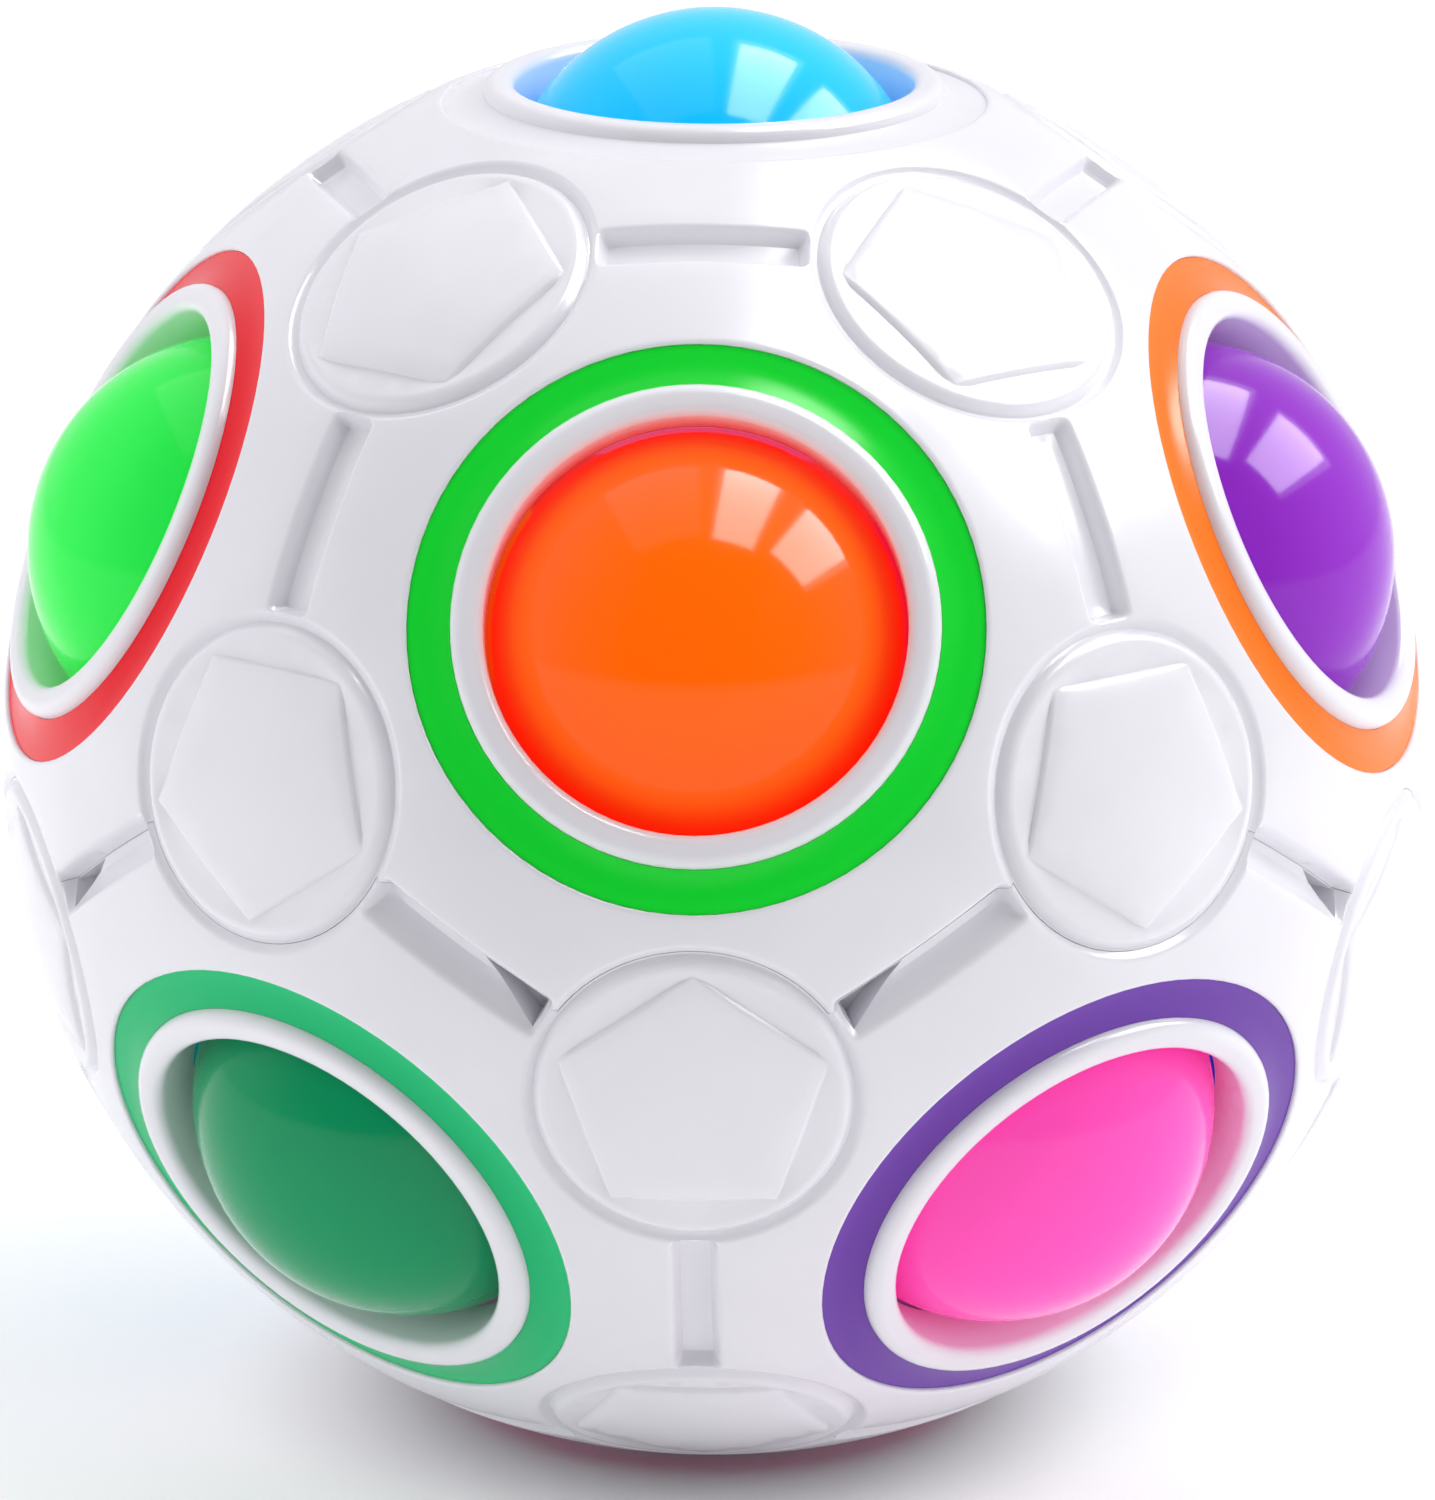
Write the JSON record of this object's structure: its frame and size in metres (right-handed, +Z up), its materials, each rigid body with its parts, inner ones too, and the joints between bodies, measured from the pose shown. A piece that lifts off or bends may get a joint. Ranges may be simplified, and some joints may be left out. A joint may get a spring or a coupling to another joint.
{
  "type": "ball shifting sphere puzzle",
  "caption": "Hollow white sphere puzzle whose coloured balls press in against sprung plungers and shift from hole to hole to match their coloured rings.",
  "frame": {"origin": "centre of the empty bottom hole, on the flat top of its collar, which the puzzle stands on", "axes": "+Z up through the puzzle's centre and the top ball; -Y towards the orange front ball; +X to the right of that ball"},
  "size_m": [0.07, 0.07, 0.0702],
  "materials": {
    "blue": "gloss blue moulded plastic",
    "dark_green": "gloss dark green moulded plastic",
    "grey": "satin grey moulded plastic",
    "light_green": "gloss light green moulded plastic",
    "magenta": "gloss magenta moulded plastic",
    "orange": "gloss orange moulded plastic",
    "pink": "gloss pink moulded plastic",
    "purple": "gloss purple moulded plastic",
    "red": "gloss red moulded plastic",
    "sky_blue": "gloss sky blue moulded plastic",
    "steel": "bright drawn spring wire",
    "teal": "gloss teal moulded plastic",
    "white": "gloss white moulded plastic",
    "yellow": "gloss yellow moulded plastic"
  },
  "bodies": {
    "shell": {"shell_upper": "white", "shell_lower": "white", "core_upper": "grey", "core_lower": "grey", "ring_light_green": "light_green", "ring_orange": "orange", "ring_sky_blue": "sky_blue", "ring_yellow": "yellow", "ring_red": "red", "ring_purple": "purple", "ring_magenta": "magenta", "ring_teal": "teal", "ring_blue": "blue", "ring_dark_green": "dark_green", "ring_pink": "pink", "spring_top": "steel", "spring_front": "steel", "spring_front_right": "steel", "spring_back_right": "steel", "spring_back_left": "steel", "spring_front_left": "steel", "spring_low_front_right": "steel", "spring_low_right": "steel", "spring_low_back": "steel", "spring_low_left": "steel", "spring_low_front_left": "steel", "spring_bottom": "steel"},
    "plunger_top": {"plunger_top": "grey"},
    "ball_sky_blue": {"ball_sky_blue": "sky_blue"},
    "plunger_front": {"plunger_front": "grey"},
    "ball_orange": {"ball_orange": "orange"},
    "plunger_front_right": {"plunger_front_right": "grey"},
    "ball_purple": {"ball_purple": "purple"},
    "plunger_back_right": {"plunger_back_right": "grey"},
    "ball_yellow": {"ball_yellow": "yellow"},
    "plunger_back_left": {"plunger_back_left": "grey"},
    "ball_red": {"ball_red": "red"},
    "plunger_front_left": {"plunger_front_left": "grey"},
    "ball_light_green": {"ball_light_green": "light_green"},
    "plunger_low_front_right": {"plunger_low_front_right": "grey"},
    "ball_pink": {"ball_pink": "pink"},
    "plunger_low_right": {"plunger_low_right": "grey"},
    "ball_blue": {"ball_blue": "blue"},
    "plunger_low_back": {"plunger_low_back": "grey"},
    "ball_magenta": {"ball_magenta": "magenta"},
    "plunger_low_left": {"plunger_low_left": "grey"},
    "ball_teal": {"ball_teal": "teal"},
    "plunger_low_front_left": {"plunger_low_front_left": "grey"},
    "ball_dark_green": {"ball_dark_green": "dark_green"},
    "plunger_bottom": {"plunger_bottom": "grey"}
  },
  "joints": [
    {"name": "ball_press_top", "type": "slide", "parent": "shell", "child": "ball_sky_blue", "axis": [0, 0, -1], "range_m": [0, 0.005], "stiffness_N_per_m": 300, "springref_m": -0.003},
    {"name": "plunger_slide_top", "type": "slide", "parent": "shell", "child": "plunger_top", "axis": [0, 0, -1], "range_m": [0, 0.005], "deforming": ["spring_top"]},
    {"name": "ball_press_front", "type": "slide", "parent": "shell", "child": "ball_orange", "axis": [0, 0.8944, -0.4472], "range_m": [0, 0.005], "stiffness_N_per_m": 300, "springref_m": -0.003},
    {"name": "plunger_slide_front", "type": "slide", "parent": "shell", "child": "plunger_front", "axis": [0, 0.8944, -0.4472], "range_m": [0, 0.005], "deforming": ["spring_front"]},
    {"name": "ball_press_front_right", "type": "slide", "parent": "shell", "child": "ball_purple", "axis": [-0.8507, 0.2764, -0.4472], "range_m": [0, 0.005], "stiffness_N_per_m": 300, "springref_m": -0.003},
    {"name": "plunger_slide_front_right", "type": "slide", "parent": "shell", "child": "plunger_front_right", "axis": [-0.8507, 0.2764, -0.4472], "range_m": [0, 0.005], "deforming": ["spring_front_right"]},
    {"name": "ball_press_back_right", "type": "slide", "parent": "shell", "child": "ball_yellow", "axis": [-0.5257, -0.7236, -0.4472], "range_m": [0, 0.005], "stiffness_N_per_m": 300, "springref_m": -0.003},
    {"name": "plunger_slide_back_right", "type": "slide", "parent": "shell", "child": "plunger_back_right", "axis": [-0.5257, -0.7236, -0.4472], "range_m": [0, 0.005], "deforming": ["spring_back_right"]},
    {"name": "ball_press_back_left", "type": "slide", "parent": "shell", "child": "ball_red", "axis": [0.5257, -0.7236, -0.4472], "range_m": [0, 0.005], "stiffness_N_per_m": 300, "springref_m": -0.003},
    {"name": "plunger_slide_back_left", "type": "slide", "parent": "shell", "child": "plunger_back_left", "axis": [0.5257, -0.7236, -0.4472], "range_m": [0, 0.005], "deforming": ["spring_back_left"]},
    {"name": "ball_press_front_left", "type": "slide", "parent": "shell", "child": "ball_light_green", "axis": [0.8507, 0.2764, -0.4472], "range_m": [0, 0.005], "stiffness_N_per_m": 300, "springref_m": -0.003},
    {"name": "plunger_slide_front_left", "type": "slide", "parent": "shell", "child": "plunger_front_left", "axis": [0.8507, 0.2764, -0.4472], "range_m": [0, 0.005], "deforming": ["spring_front_left"]},
    {"name": "ball_press_low_front_right", "type": "slide", "parent": "shell", "child": "ball_pink", "axis": [-0.5257, 0.7236, 0.4472], "range_m": [0, 0.005], "stiffness_N_per_m": 300, "springref_m": -0.003},
    {"name": "plunger_slide_low_front_right", "type": "slide", "parent": "shell", "child": "plunger_low_front_right", "axis": [-0.5257, 0.7236, 0.4472], "range_m": [0, 0.005], "deforming": ["spring_low_front_right"]},
    {"name": "ball_press_low_right", "type": "slide", "parent": "shell", "child": "ball_blue", "axis": [-0.8507, -0.2764, 0.4472], "range_m": [0, 0.005], "stiffness_N_per_m": 300, "springref_m": -0.003},
    {"name": "plunger_slide_low_right", "type": "slide", "parent": "shell", "child": "plunger_low_right", "axis": [-0.8507, -0.2764, 0.4472], "range_m": [0, 0.005], "deforming": ["spring_low_right"]},
    {"name": "ball_press_low_back", "type": "slide", "parent": "shell", "child": "ball_magenta", "axis": [0, -0.8944, 0.4472], "range_m": [0, 0.005], "stiffness_N_per_m": 300, "springref_m": -0.003},
    {"name": "plunger_slide_low_back", "type": "slide", "parent": "shell", "child": "plunger_low_back", "axis": [0, -0.8944, 0.4472], "range_m": [0, 0.005], "deforming": ["spring_low_back"]},
    {"name": "ball_press_low_left", "type": "slide", "parent": "shell", "child": "ball_teal", "axis": [0.8507, -0.2764, 0.4472], "range_m": [0, 0.005], "stiffness_N_per_m": 300, "springref_m": -0.003},
    {"name": "plunger_slide_low_left", "type": "slide", "parent": "shell", "child": "plunger_low_left", "axis": [0.8507, -0.2764, 0.4472], "range_m": [0, 0.005], "deforming": ["spring_low_left"]},
    {"name": "ball_press_low_front_left", "type": "slide", "parent": "shell", "child": "ball_dark_green", "axis": [0.5257, 0.7236, 0.4472], "range_m": [0, 0.005], "stiffness_N_per_m": 300, "springref_m": -0.003},
    {"name": "plunger_slide_low_front_left", "type": "slide", "parent": "shell", "child": "plunger_low_front_left", "axis": [0.5257, 0.7236, 0.4472], "range_m": [0, 0.005], "deforming": ["spring_low_front_left"]},
    {"name": "plunger_slide_bottom", "type": "slide", "parent": "shell", "child": "plunger_bottom", "axis": [0, 0, 1], "range_m": [0, 0.005], "stiffness_N_per_m": 300, "springref_m": -0.001, "deforming": ["spring_bottom"]}
  ],
  "couplings": [
    {"joint": "plunger_slide_top", "follows": "ball_press_top", "ratio": 1},
    {"joint": "plunger_slide_front", "follows": "ball_press_front", "ratio": 1},
    {"joint": "plunger_slide_front_right", "follows": "ball_press_front_right", "ratio": 1},
    {"joint": "plunger_slide_back_right", "follows": "ball_press_back_right", "ratio": 1},
    {"joint": "plunger_slide_back_left", "follows": "ball_press_back_left", "ratio": 1},
    {"joint": "plunger_slide_front_left", "follows": "ball_press_front_left", "ratio": 1},
    {"joint": "plunger_slide_low_front_right", "follows": "ball_press_low_front_right", "ratio": 1},
    {"joint": "plunger_slide_low_right", "follows": "ball_press_low_right", "ratio": 1},
    {"joint": "plunger_slide_low_back", "follows": "ball_press_low_back", "ratio": 1},
    {"joint": "plunger_slide_low_left", "follows": "ball_press_low_left", "ratio": 1},
    {"joint": "plunger_slide_low_front_left", "follows": "ball_press_low_front_left", "ratio": 1}
  ]
}
